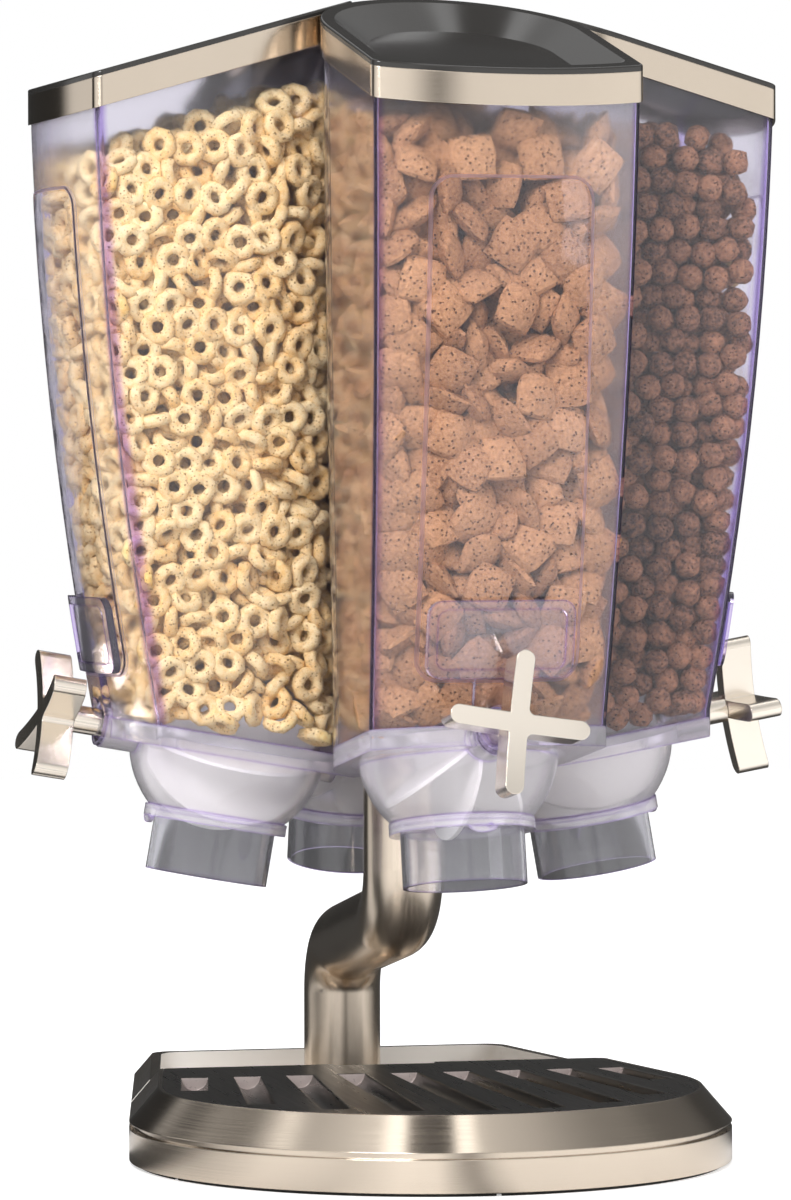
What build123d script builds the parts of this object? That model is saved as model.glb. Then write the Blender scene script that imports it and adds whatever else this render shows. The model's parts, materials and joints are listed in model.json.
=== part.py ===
"""Rotating cereal dispenser: four hoppers on a carousel, a bent column and a base with a drip tray.

Row frame: millimetres, +Z up, front towards -Y, origin in the middle of the round front of the base,
on its underside.  The carousel turns about a vertical axis behind that point.
Station frame: the carousel's axis at its origin, X outwards through one hopper, Z up.
Shaft frame: origin in the middle of the portion wheel, X outwards along the tilted knob shaft.
"""

import os
from math import cos, hypot, radians, sin, sqrt, tan

from build123d import *

# Stations: the direction that each hopper faces, and how far its knob stands turned
stations = {"front": -90.0, "right": 0.0, "rear": 90.0, "left": 180.0}
knob_turns = {"front": -8.6, "right": 3.0, "rear": 0.0, "left": 30.0}
carousel_turn = 4.5

# Fits and clearances
press_gap = 0.02
running_gap = 0.05
slip_gap = 0.2
lid_gap = 0.4

# Base
base_radius = 166.0
base_taper = 10.5
base_rear = 292.0
base_corner = 24.0
mat_height = 2.0
mat_inset = 4.0
floor_height = 3.0
band_top = 19.6
reveal_height = 3.4
reveal_depth = 3.0
rim_top = 35.0
base_wall = 16.0
screw_radius = 1.75
screw_head_radius = 4.0
screw_head_height = 1.2
screw_length = 10.0
screw_angles = (-160.0, -90.0, -20.0)

# Drip tray
tray_top = 41.5
tray_slope_run = 16.0
tray_rear = 122.0
tray_corner = 5.0
tray_skirt = 2.2
tray_ledge_width = 5.0
plate_thickness = 2.5
flute_pitch = 29.9
flute_radius = 7.2
flute_wall = 1.8
flute_lip = 1.2
flute_rear = 68.0
flute_margin = 16.0
notch_width = 60.0
notch_depth = 7.0
notch_corner = 3.0
tray_lift_gap = 1.5

# Column, foot and spindle
axis_y = 68.0
column_radius = 22.5
column_wall = 2.5
column_top = 262.0
bend_top = 157.0
bend_radius = 32.0
mid_slope = 10.0
foot_y = 236.0
foot_radius = 36.0
foot_thickness = 6.0
socket_height = 10.0
socket_wall = 3.0
bolt_count = 4
bolt_circle = 30.8
bolt_radius = 3.0
bolt_head_radius = 4.5
bolt_head_height = 4.0
spindle_radius = 10.0
spindle_plug = 20.0
thread_radius = 8.0
thread_length = 10.0
nut_across = 22.0
nut_height = 8.0
washer_radius = 22.0
washer_thickness = 2.0

# Hub
hub_radius = 26.5
hub_height = 296.0
bush_radius = 14.0
bush_length = 20.0
nut_well_radius = 15.5
nut_well_depth = 16.0
neck_width = 8.0
neck_depth = 4.3
head_width = 14.0
head_depth = 3.6
slot_bottom = 66.0
tongue_drop = 5.0
cap_radius = 17.8
cap_thickness = 3.0
cap_plug_depth = 3.0

# Hopper: half width and corner reach at the foot, the middle and the mouth
foot_rise = 18.0
middle_level = 429.5
mouth_level = 570.0
foot_half_width = 66.7
middle_half_width = 71.5
mouth_half_width = 74.0
foot_reach = 159.0
middle_reach = 184.8
mouth_reach = 194.0
hopper_spacing = 2.3
hopper_wall = 2.5
corner_radius = 4.0
window_rise = 40.0
window_high = 535.0
window_half_width = 45.0
window_corner = 12.0
window_step = 0.8
stem_half_width = 14.6
stem_step = 4.0
stem_corner = 1.0

# Label holder
label_rise = 41.0
label_height = 42.0
label_half_width = 41.0
label_corner = 8.0
label_step = 5.0
label_border = 5.0
label_recess = 1.5
label_gap = 0.1

# Portion wheel, its shaft and the funnel
shaft_tilt = 10.0
wheel_reach = 102.0
wheel_height = 228.0
throat_rise = 4.0
bowl_radius = 55.0
bowl_wall = 2.5
flange_depth = 11.0
lead_in = 6.0
collar_top = 39.5
collar_height = 6.5
collar_radius = 40.0
spout_radius = 34.0
spout_wall = 2.2
spout_lip = 2.0
spout_end = 75.0
tab_half_width = 8.0
tab_drop = 4.0
tab_thickness = 2.0
tab_inset = 1.0
tab_hole = 1.3
shaft_radius = 7.7
shaft_face = 91.0
boss_radius = 13.3
boss_start = 50.0
boss_end = 73.5
bush_wall = 2.6
bush_flange = 2.0
bush_flange_radius = 12.6
inner_boss_radius = 12.0
inner_boss_length = 10.0
inner_boss_end = 62.0
shaft_end_gap = 2.0
wheel_radius = 50.0
vane_discs = 4
vane_thickness = 2.0
wheel_hub_radius = 11.0
wheel_half_length = 46.0
seam_turn = 60.0

# Knob
knob_span = 77.5
knob_arm = 10.3
knob_depth = 18.0
knob_dish = 3.0
knob_root = 3.5
tenon_radius = 4.0
tenon_length = 11.0

# Lid
lid_slope = 16.0
lid_edge_level = 593.0
band_height = 16.0
band_wall = 1.4
seal_height = 2.0
seal_width = 3.2
lid_rim = 3.0
lid_rim_round = 1.2
dish_depth = 11.0
dish_rim = 5.5
dish_side = 17.0
dish_back = 26.0
dish_front = 6.0
dish_wall = 2.0
dish_corner = 10.0

# Derived places
tilt = radians(shaft_tilt)
slope = radians(lid_slope)
taper = radians(base_taper)
skirt_foot = band_top + reveal_height
floor_top = mat_height + floor_height
foot_top = floor_top + foot_thickness
hub_bottom = column_top + washer_thickness
hub_top = hub_bottom + hub_height
wheel_seat = Plane(
    origin=(wheel_reach, 0, wheel_height),
    x_dir=(cos(tilt), 0, sin(tilt)),
    z_dir=(-sin(tilt), 0, cos(tilt)),
)
lid_plane = Plane(
    origin=(mouth_reach, 0, lid_edge_level),
    x_dir=(cos(slope), 0, -sin(slope)),
    z_dir=(sin(slope), 0, cos(slope)),
)
foot_level = wheel_height + foot_rise
window_low = wheel_height + window_rise
label_low = wheel_height + label_rise
label_high = label_low + label_height


def teardrop(radius, rear, corner):
    """Draw the base's plan: a round front, straight tapering sides and a square rear end."""
    half_rear = (radius - rear * sin(taper)) / cos(taper)
    touch_x, touch_y = radius * cos(taper), radius * sin(taper)
    with BuildLine() as outline:
        ThreePointArc((touch_x, touch_y), (0, -radius), (-touch_x, touch_y))
        Polyline((-touch_x, touch_y), (-half_rear, rear), (half_rear, rear), (touch_x, touch_y))
    make_face(outline.edges())
    fillet(vertices().group_by(Axis.Y)[-1], corner)


def container_outline(half_width, reach, grow=0.0):
    """Draw a hopper's plan: a round inner end, parallel sides and an outer face round the carousel's axis."""
    centre = sqrt(2) * (half_width + hopper_spacing)
    side = half_width + grow
    face = hypot(reach, half_width) + grow
    corner = sqrt(face**2 - side**2)
    with BuildLine() as outline:
        ThreePointArc((corner, -side), (face, 0), (corner, side))
        Line((corner, side), (centre, side))
        ThreePointArc((centre, side), (centre - side, 0), (centre, -side))
        Line((centre, -side), (corner, -side))
    make_face(outline.edges())
    fillet(vertices().group_by(Axis.X)[-1], corner_radius + grow)


def container(grow):
    """Fill a hopper's outer shape, or one larger or smaller all round, past both of its cut ends."""
    with BuildSketch(Plane.XY.offset(foot_level)) as foot:
        container_outline(foot_half_width, foot_reach, grow)
    with BuildSketch(Plane.XY.offset(middle_level)) as middle:
        container_outline(middle_half_width, middle_reach, grow)
    with BuildSketch(Plane.XY.offset(mouth_level)) as mouth:
        container_outline(mouth_half_width, mouth_reach, grow)
    with BuildPart() as form:
        loft([foot.sketch, middle.sketch, mouth.sketch])
        extrude(foot.sketch, amount=-wheel_reach)
        extrude(mouth.sketch, amount=mouth_reach)
    return form.part


def face_block(low, high, half_width, corner):
    """Fill a block with rounded corners that reaches out through a hopper's outer face."""
    with BuildPart() as block:
        with BuildSketch(Plane.YZ.offset(wheel_reach)):
            with Locations((0, (low + high) / 2)):
                RectangleRounded(2 * half_width, high - low, corner)
        extrude(amount=mouth_reach)
    return block.part


def dish_outline(side, back, front, grow=0.0):
    """Draw the lid's dish on the lid's plane: a round inner end and an arc that follows the outer face."""
    bulge = hypot(mouth_reach, mouth_half_width) - mouth_reach
    half_width = mouth_half_width - side + grow
    centre = (sqrt(2) * (mouth_half_width + hopper_spacing) - mouth_reach) / cos(slope)
    inner_end = centre - mouth_half_width + back - grow
    tangent = inner_end + half_width
    edge = grow - front
    with BuildLine() as outline:
        ThreePointArc((edge, -half_width), (edge + bulge, 0), (edge, half_width))
        Line((edge, half_width), (tangent, half_width))
        ThreePointArc((tangent, half_width), (inner_end, 0), (tangent, -half_width))
        Line((tangent, -half_width), (edge, -half_width))
    make_face(outline.edges())
    fillet(vertices().group_by(Axis.X)[-1], dish_corner + grow)


def write(piece, name):
    """Write one piece as the node of that name."""
    piece.label = name
    export_step(piece, f"parts/{name}.step")


os.makedirs("parts", exist_ok=True)

# Base casting: a solid rim round an open pan, with a reveal that the tray's skirt stands on
screw_circle = base_radius - base_wall / 2
screw_places = [(screw_circle * cos(radians(a)), screw_circle * sin(radians(a))) for a in screw_angles]
screw_places += [(x, base_rear - base_wall / 2) for x in (-foot_radius, foot_radius)]
rim_run = tray_slope_run * (rim_top - skirt_foot) / (tray_top - skirt_foot)

with BuildSketch(Plane.XY.offset(skirt_foot)) as rise_foot:
    teardrop(base_radius, base_rear, base_corner)
with BuildSketch(Plane.XY.offset(rim_top)) as rise_top:
    teardrop(base_radius - rim_run, base_rear - rim_run, base_corner - rim_run)
with BuildPart() as rear_rise:
    loft([rise_foot.sketch, rise_top.sketch])
    extrude(rise_foot.sketch, amount=-reveal_height)
    split(bisect_by=Plane(origin=(0, tray_rear + tray_lift_gap, 0), z_dir=(0, 1, 0)))

with BuildPart() as base_casting:
    with BuildSketch(Plane.XY.offset(mat_height)):
        teardrop(base_radius, base_rear, base_corner)
    extrude(amount=band_top - mat_height)
    with BuildSketch(Plane.XY.offset(band_top)):
        teardrop(base_radius - reveal_depth, base_rear - reveal_depth, base_corner - reveal_depth)
    extrude(amount=reveal_height)
    add(rear_rise.part)
    with BuildSketch(Plane.XY.offset(floor_top)):
        teardrop(base_radius - base_wall, base_rear - base_wall, base_corner - base_wall / 2)
    extrude(amount=base_radius, mode=Mode.SUBTRACT)
    with BuildSketch(Plane.XY.offset(mat_height)):
        with Locations((0, foot_y)):
            with PolarLocations(bolt_circle, bolt_count, start_angle=45):
                Circle(bolt_radius + slip_gap)
    extrude(amount=floor_height, mode=Mode.SUBTRACT)
    with BuildSketch(Plane.XY.offset(mat_height)):
        with Locations(*screw_places):
            Circle(screw_radius + press_gap)
    extrude(amount=screw_length, mode=Mode.SUBTRACT)
write(base_casting.part, "base_casting")

with BuildPart() as base_mat:
    with BuildSketch():
        teardrop(base_radius - mat_inset, base_rear - mat_inset, base_corner - mat_inset)
        with Locations(*screw_places):
            Circle(screw_head_radius + slip_gap, mode=Mode.SUBTRACT)
    extrude(amount=mat_height)
write(base_mat.part, "base_mat")

with BuildPart() as base_screws:
    with BuildSketch(Plane.XY.offset(mat_height)):
        with Locations(*screw_places):
            Circle(screw_head_radius)
    extrude(amount=-screw_head_height)
    with BuildSketch(Plane.XY.offset(mat_height)):
        with Locations(*screw_places):
            Circle(screw_radius)
    extrude(amount=screw_length - slip_gap)
write(base_screws.part, "base_screws")

# Drip tray: a sloping brushed skirt with a ledge, and a dark fluted plate let into it
plate_low = tray_top - plate_thickness
ledge_low = plate_low - plate_thickness
ledge_run = tray_slope_run * (ledge_low - skirt_foot) / (tray_top - skirt_foot)
plate_radius = base_radius - tray_slope_run - tray_skirt
flute_reach = plate_radius - flute_margin
flute_side = (flute_reach - flute_rear * sin(taper)) / cos(taper)
flutes_each_side = int(flute_side / flute_pitch)

with BuildPart() as tray_blank:
    with BuildSketch(Plane.XY.offset(skirt_foot)) as skirt_low:
        teardrop(base_radius, tray_rear, tray_corner)
    with BuildSketch(Plane.XY.offset(tray_top)) as skirt_high:
        teardrop(base_radius - tray_slope_run, tray_rear, tray_corner)
    loft([skirt_low.sketch, skirt_high.sketch])

with BuildPart() as tray_hollow:
    with BuildSketch(Plane.XY.offset(skirt_foot)) as hollow_low:
        teardrop(base_radius - tray_skirt, tray_rear + base_wall, tray_corner)
    with BuildSketch(Plane.XY.offset(ledge_low)) as hollow_high:
        teardrop(base_radius - tray_skirt - ledge_run, tray_rear + base_wall, tray_corner)
    loft([hollow_low.sketch, hollow_high.sketch])

with BuildPart() as tray_trim:
    add(tray_blank.part)
    add(tray_hollow.part, mode=Mode.SUBTRACT)
    with BuildSketch(Plane.XY.offset(ledge_low)):
        teardrop(plate_radius - tray_ledge_width, tray_rear + base_wall, tray_corner)
    extrude(amount=plate_thickness, mode=Mode.SUBTRACT)
    with BuildSketch(Plane.XY.offset(plate_low)):
        teardrop(plate_radius, tray_rear + base_wall, tray_corner)
    extrude(amount=plate_thickness, mode=Mode.SUBTRACT)
write(tray_trim.part, "tray_trim")

with BuildPart() as tray_plate:
    with BuildSketch(Plane.XY.offset(plate_low)):
        teardrop(plate_radius - running_gap, tray_rear, tray_corner)
        with Locations((0, tray_rear)):
            RectangleRounded(notch_width, 2 * notch_depth, notch_corner, mode=Mode.SUBTRACT)
    extrude(amount=plate_thickness)
    for wall, mode in ((flute_wall, Mode.ADD), (0, Mode.SUBTRACT)):
        for i in range(-flutes_each_side, flutes_each_side + 1):
            x = i * flute_pitch
            turn = taper * x / flute_side
            offset = x * cos(turn) + flute_rear * sin(turn)
            front = flute_rear * cos(turn) - x * sin(turn) + sqrt(flute_reach**2 - offset**2)
            rear_end = Plane(
                origin=(x - wall * sin(turn), flute_rear + wall * cos(turn), tray_top),
                x_dir=(cos(turn), sin(turn), 0),
                z_dir=(sin(turn), -cos(turn), 0),
            )
            with BuildSketch(rear_end):
                Circle(flute_radius + wall)
                with Locations((0, flute_radius + wall)):
                    Rectangle(2 * (flute_radius + wall), 2 * (flute_radius + wall), mode=Mode.SUBTRACT)
                if not wall:
                    with Locations((0, flute_lip)):
                        Rectangle(2 * flute_radius + 4 * flute_lip, 2 * flute_lip)
                    fillet(vertices().group_by(Axis.Y)[0].sort_by(Axis.X)[1:3], flute_lip)
            extrude(amount=front + 2 * wall, mode=mode)
write(tray_plate.part, "tray_plate")

# Column: a tube that rises from the foot, sweeps forward in an S-bend and stands on the carousel's axis
mid_rise = (foot_y - axis_y) * tan(radians(mid_slope))
bend_knee = bend_top - bend_radius * tan(radians(90 - mid_slope) / 2)
with BuildPart() as column:
    with BuildLine() as column_line:
        FilletPolyline(
            (0, foot_y, foot_top),
            (0, foot_y, bend_knee - mid_rise),
            (0, axis_y, bend_knee),
            (0, axis_y, column_top),
            radius=bend_radius,
        )
    with BuildSketch(Plane(origin=(0, foot_y, foot_top))):
        Circle(column_radius)
        Circle(column_radius - column_wall, mode=Mode.SUBTRACT)
    sweep(path=column_line.line)
write(column.part, "column")

with BuildPart() as column_flange:
    with BuildSketch(Plane(origin=(0, foot_y, floor_top))):
        Circle(foot_radius)
        with PolarLocations(bolt_circle, bolt_count, start_angle=45):
            Circle(bolt_radius + slip_gap, mode=Mode.SUBTRACT)
    extrude(amount=foot_thickness)
    with BuildSketch(Plane(origin=(0, foot_y, foot_top))):
        Circle(column_radius + socket_wall)
        Circle(column_radius + press_gap, mode=Mode.SUBTRACT)
    extrude(amount=socket_height)
write(column_flange.part, "column_flange")

with BuildPart() as column_bolts:
    with BuildSketch(Plane(origin=(0, foot_y, foot_top))):
        with PolarLocations(bolt_circle, bolt_count, start_angle=45):
            Circle(bolt_head_radius)
    extrude(amount=bolt_head_height)
    with BuildSketch(Plane(origin=(0, foot_y, foot_top))):
        with PolarLocations(bolt_circle, bolt_count, start_angle=45):
            Circle(bolt_radius)
    extrude(amount=-foot_thickness - floor_height)
write(column_bolts.part, "column_bolts")

# Spindle: a rod on a plug in the column's top, with a thrust washer below the hub and a nut above it
thread_low = hub_top - nut_well_depth
with BuildPart() as spindle:
    with BuildSketch(Plane(origin=(0, axis_y, column_top))):
        Circle(column_radius - column_wall - press_gap)
    extrude(amount=-spindle_plug)
    with BuildSketch(Plane(origin=(0, axis_y, column_top))):
        Circle(spindle_radius)
    extrude(amount=thread_low - column_top)
    with BuildSketch(Plane(origin=(0, axis_y, thread_low))):
        Circle(thread_radius)
    extrude(amount=thread_length)
write(spindle.part, "spindle")

with BuildPart() as thrust_washer:
    with BuildSketch(Plane(origin=(0, axis_y, column_top))):
        Circle(washer_radius)
        Circle(spindle_radius + running_gap, mode=Mode.SUBTRACT)
    extrude(amount=washer_thickness)
write(thrust_washer.part, "thrust_washer")

with BuildPart() as spindle_nut:
    with BuildSketch(Plane(origin=(0, axis_y, thread_low + running_gap))):
        RegularPolygon(nut_across / 2, 6, major_radius=False)
        Circle(thread_radius + press_gap, mode=Mode.SUBTRACT)
    extrude(amount=nut_height)
write(spindle_nut.part, "spindle_nut")

# Hub: a turned post with bushes at both ends, four T-slots and a well for the nut
with BuildPart() as hub:
    with BuildSketch(Plane.XY.offset(hub_bottom)):
        Circle(hub_radius)
        Circle(bush_radius + press_gap, mode=Mode.SUBTRACT)
    extrude(amount=hub_height)
    with BuildSketch(Plane.XY.offset(thread_low)):
        Circle(nut_well_radius)
    extrude(amount=nut_well_depth, mode=Mode.SUBTRACT)
    with BuildSketch(Plane.XY.offset(hub_top)):
        with PolarLocations(hub_radius - neck_depth / 2, len(stations)):
            Rectangle(neck_depth + 2 * slip_gap, neck_width)
        with PolarLocations(hub_radius - neck_depth - head_depth / 2, len(stations)):
            Rectangle(head_depth, head_width)
    extrude(amount=slot_bottom - hub_height, mode=Mode.SUBTRACT)

with BuildPart() as hub_bushes:
    for low in (hub_bottom, thread_low - bush_length):
        with BuildSketch(Plane.XY.offset(low)):
            Circle(bush_radius)
            Circle(spindle_radius + running_gap, mode=Mode.SUBTRACT)
        extrude(amount=bush_length)

with BuildPart() as hub_cap:
    with BuildSketch(Plane.XY.offset(hub_top)):
        Circle(cap_radius)
    extrude(amount=cap_thickness)
    with BuildSketch(Plane.XY.offset(hub_top)):
        Circle(nut_well_radius - slip_gap)
    extrude(amount=-cap_plug_depth)

# Hopper: a moulded container with a window panel, a stem over the boss and a T-tongue for the hub's slot
outer_form = container(0)
inner_form = container(-hopper_wall)
tongue_neck = hub_radius - neck_depth
seat = wheel_seat.location

with BuildPart() as window_panel:
    add(container(window_step))
    add(face_block(window_low, window_high, window_half_width, window_corner), mode=Mode.INTERSECT)

with BuildPart() as stem:
    add(container(stem_step))
    add(face_block(wheel_height, label_low, stem_half_width, stem_corner), mode=Mode.INTERSECT)

with BuildPart() as hopper:
    add(outer_form)
    add(window_panel.part)
    add(stem.part)
    with BuildSketch(Plane.XY.offset(hub_bottom + slot_bottom)):
        with Locations((tongue_neck - slip_gap, 0)):
            Rectangle(neck_depth + hub_radius, neck_width - 2 * slip_gap, align=(Align.MIN, Align.CENTER))
            Rectangle(head_depth - 2 * slip_gap, head_width - 2 * slip_gap, align=(Align.MAX, Align.CENTER))
    extrude(amount=hub_height - slot_bottom - tongue_drop)
    add(inner_form, mode=Mode.SUBTRACT)
    split(bisect_by=wheel_seat.offset(throat_rise))
    split(bisect_by=lid_plane.offset(-seal_height), keep=Keep.BOTTOM)
    with BuildSketch(Plane(seat * Location((boss_start, 0, 0), (0, 90, 0)))):
        Circle(boss_radius + slip_gap)
    extrude(amount=shaft_face - boss_start, mode=Mode.SUBTRACT)

with BuildPart() as label_pocket:
    add(container(label_step))
    add(
        face_block(
            label_low + label_border,
            label_high - label_border,
            label_half_width - label_border,
            label_corner - label_border / 2,
        ),
        mode=Mode.INTERSECT,
    )
    add(container(label_step - label_recess), mode=Mode.SUBTRACT)

with BuildPart() as label_holder:
    add(container(label_step))
    add(face_block(label_low, label_high, label_half_width, label_corner), mode=Mode.INTERSECT)
    add(container(window_step + label_gap), mode=Mode.SUBTRACT)
    add(label_pocket.part, mode=Mode.SUBTRACT)

# Funnel: a flange under the hopper, a round bowl for the wheel, two shaft bosses and a collar
flange_low = throat_rise - flange_depth
lip_low = collar_top + bowl_wall - running_gap
collar_low = collar_top + collar_height
tab_reach = collar_radius - tab_inset
bowl_inside = bowl_radius - bowl_wall
bowl_axis = Axis(wheel_seat.origin, wheel_seat.z_dir)
bowl_profile = Plane(seat * Location((0, 0, 0), (0, 0, seam_turn)) * Location((0, 0, 0), (90, 0, 0)))


def bowl_arc(radius, high, low):
    """Draw the part of a round bowl's profile that lies between two heights."""
    middle = (high + low) / 2
    ThreePointArc(*((sqrt(radius**2 - z**2), z) for z in (high, middle, low)))


with BuildPart() as flange_slab:
    add(outer_form)
    split(bisect_by=wheel_seat.offset(throat_rise), keep=Keep.BOTTOM)
    split(bisect_by=wheel_seat.offset(flange_low))

with BuildPart() as funnel:
    add(flange_slab.part)
    with BuildSketch(bowl_profile):
        with BuildLine():
            bowl_arc(bowl_radius, flange_low, -collar_top)
            Polyline(
                (sqrt(bowl_radius**2 - collar_top**2), -collar_top),
                (collar_radius, -collar_top),
                (collar_radius, -collar_low),
                (0, -collar_low),
                (0, flange_low),
                (sqrt(bowl_radius**2 - flange_low**2), flange_low),
            )
        make_face()
    revolve(axis=bowl_axis)
    with BuildSketch(Plane(seat * Location((tab_reach, 0, -collar_low), (0, 90, 0)))):
        Ellipse(tab_drop, tab_half_width)
    extrude(amount=-tab_thickness)
    with BuildSketch(bowl_profile):
        pocket_radius = spout_radius + spout_lip + slip_gap
        pocket_top = -sqrt(bowl_inside**2 - pocket_radius**2)
        lead_low = throat_rise - lead_in
        lead_radius = sqrt(bowl_inside**2 - lead_low**2)
        with BuildLine():
            bowl_arc(bowl_inside, lead_low, pocket_top)
            Polyline(
                (pocket_radius, pocket_top),
                (pocket_radius, -lip_low),
                (spout_radius + press_gap, -lip_low),
                (spout_radius + press_gap, -collar_low),
                (0, -collar_low),
                (0, throat_rise),
                (lead_radius + lead_in, throat_rise),
                (lead_radius, lead_low),
            )
        make_face()
    revolve(axis=bowl_axis, mode=Mode.SUBTRACT)
    with BuildSketch(Plane(seat * Location((boss_start, 0, 0), (0, 90, 0)))):
        Circle(boss_radius)
    extrude(amount=boss_end - boss_start)
    with BuildSketch(Plane(seat * Location((-boss_start, 0, 0), (0, -90, 0)))):
        Circle(inner_boss_radius)
    extrude(amount=inner_boss_end - boss_start)
    with BuildSketch(Plane(seat * Location((boss_start, 0, 0), (0, 90, 0)))):
        Circle(shaft_radius + running_gap + bush_wall + press_gap)
    extrude(amount=boss_end - boss_start, mode=Mode.SUBTRACT)
    with BuildSketch(Plane(seat * Location((-boss_start, 0, 0), (0, -90, 0)))):
        Circle(shaft_radius + running_gap)
    extrude(amount=inner_boss_length, mode=Mode.SUBTRACT)
    with BuildSketch(Plane(seat * Location((tab_reach, tab_half_width / 2, -collar_low), (0, 90, 0)))):
        Circle(tab_hole)
    extrude(amount=-tab_thickness, mode=Mode.SUBTRACT)

# The pieces in the shaft frame: spout, bush, shaft, wheel and knob
with BuildPart() as spout:
    with BuildSketch(Plane.XY.offset(-spout_end)):
        Circle(spout_radius)
        Circle(spout_radius - spout_wall, mode=Mode.SUBTRACT)
    extrude(amount=spout_end - lip_low)
    with BuildSketch(Plane.XY.offset(-lip_low)):
        Circle(spout_radius + spout_lip)
        Circle(spout_radius - spout_wall, mode=Mode.SUBTRACT)
    extrude(amount=spout_lip)

with BuildPart() as shaft_bush:
    with BuildSketch(Plane.YZ.offset(boss_start)):
        Circle(shaft_radius + running_gap + bush_wall)
    extrude(amount=boss_end - boss_start)
    with BuildSketch(Plane.YZ.offset(boss_end)):
        Circle(bush_flange_radius)
    extrude(amount=bush_flange)
    with BuildSketch(Plane.YZ.offset(boss_start)):
        Circle(shaft_radius + running_gap)
    extrude(amount=shaft_face - boss_start, mode=Mode.SUBTRACT)

with BuildPart() as shaft:
    with BuildSketch(Plane.YZ.offset(shaft_face)):
        Circle(shaft_radius)
    extrude(amount=-shaft_face - boss_start - inner_boss_length + shaft_end_gap)
    with BuildSketch(Plane.YZ.offset(shaft_face)):
        Circle(tenon_radius)
    extrude(amount=tenon_length)

with BuildPart() as wheel:
    for i in range(vane_discs):
        with BuildSketch(Plane.XY.rotated((i * 180 / vane_discs, 0, 0))):
            Circle(wheel_radius)
        extrude(amount=vane_thickness / 2, both=True)
    with BuildSketch(Plane.YZ):
        Circle(wheel_hub_radius)
    extrude(amount=wheel_radius, both=True)
    Box(2 * wheel_half_length, 2 * wheel_radius, 2 * wheel_radius, mode=Mode.INTERSECT)
    with BuildSketch(Plane.YZ):
        Circle(shaft_radius + press_gap)
    extrude(amount=wheel_radius, both=True, mode=Mode.SUBTRACT)

dish_radius = ((knob_span / 2) ** 2 + knob_dish**2) / (2 * knob_dish)
dish_centre = shaft_face + knob_depth + dish_radius
with BuildPart() as knob:
    with BuildSketch(Plane.YZ.offset(shaft_face - knob_depth)):
        SlotOverall(knob_span, knob_arm)
        SlotOverall(knob_span, knob_arm, rotation=90)
        fillet(vertices().sort_by_distance((shaft_face - knob_depth, 0, 0))[:4], knob_root)
    extrude(amount=2 * (knob_depth + knob_dish))
    with Locations((dish_centre, 0, 0)):
        Sphere(dish_radius + knob_depth, mode=Mode.INTERSECT)
        Sphere(dish_radius, mode=Mode.SUBTRACT)
    with BuildSketch(Plane.YZ.offset(shaft_face)):
        Circle(tenon_radius + press_gap)
    extrude(amount=tenon_length + slip_gap, mode=Mode.SUBTRACT)

# Lid: a brushed band round a dark dished top, on a seal that lies on the hopper's rim
rim_grow = lid_gap + band_wall
with BuildSketch(Plane.XY.offset(mouth_level - band_height)) as band_plan:
    container_outline(mouth_half_width, mouth_reach, rim_grow)
with BuildSketch(Plane.XY.offset(mouth_level - band_height)) as band_bore:
    container_outline(mouth_half_width, mouth_reach, lid_gap)
with BuildSketch(Plane.XY.offset(mouth_level)) as seal_plan:
    container_outline(mouth_half_width, mouth_reach, 0)
with BuildSketch(Plane.XY.offset(mouth_level)) as seal_bore:
    container_outline(mouth_half_width, mouth_reach, -seal_width)

with BuildPart() as lid_band:
    extrude(band_plan.sketch, amount=mouth_reach)
    extrude(band_bore.sketch, amount=mouth_reach, mode=Mode.SUBTRACT)
    split(bisect_by=lid_plane, keep=Keep.BOTTOM)
    split(bisect_by=lid_plane.offset(-band_height))

with BuildPart() as lid_seal:
    extrude(seal_plan.sketch, amount=mouth_reach)
    extrude(seal_bore.sketch, amount=mouth_reach, mode=Mode.SUBTRACT)
    split(bisect_by=lid_plane, keep=Keep.BOTTOM)
    split(bisect_by=lid_plane.offset(-seal_height))

with BuildSketch(lid_plane.offset(lid_rim)) as dish_mouth:
    dish_outline(dish_rim, dish_rim, dish_front)
with BuildSketch(lid_plane.offset(lid_rim - dish_depth)) as dish_floor:
    dish_outline(dish_rim + dish_side, dish_rim + dish_back, dish_front + dish_wall)
with BuildSketch(lid_plane.offset(lid_rim)) as shell_mouth:
    dish_outline(dish_rim, dish_rim, dish_front, dish_wall)
with BuildSketch(lid_plane.offset(lid_rim - dish_depth - dish_wall)) as shell_floor:
    dish_outline(dish_rim + dish_side, dish_rim + dish_back, dish_front + dish_wall, dish_wall)

with BuildPart() as lid_top:
    extrude(band_plan.sketch, amount=mouth_reach)
    split(bisect_by=lid_plane)
    split(bisect_by=lid_plane.offset(lid_rim), keep=Keep.BOTTOM)
    top_face = faces().sort_by(Axis(lid_plane.origin, lid_plane.z_dir))[-1]
    fillet(top_face.outer_wire().edges(), lid_rim_round)
    loft([shell_mouth.sketch, shell_floor.sketch])
    loft([dish_mouth.sketch, dish_floor.sketch], mode=Mode.SUBTRACT)

# The carousel's own pieces, then the pieces of each station, written where they stand
carousel = Location((0, axis_y, 0), (0, 0, carousel_turn))
for name, piece in (("hub", hub), ("hub_bushes", hub_bushes), ("hub_cap", hub_cap)):
    write(carousel * piece.part, name)

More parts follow.
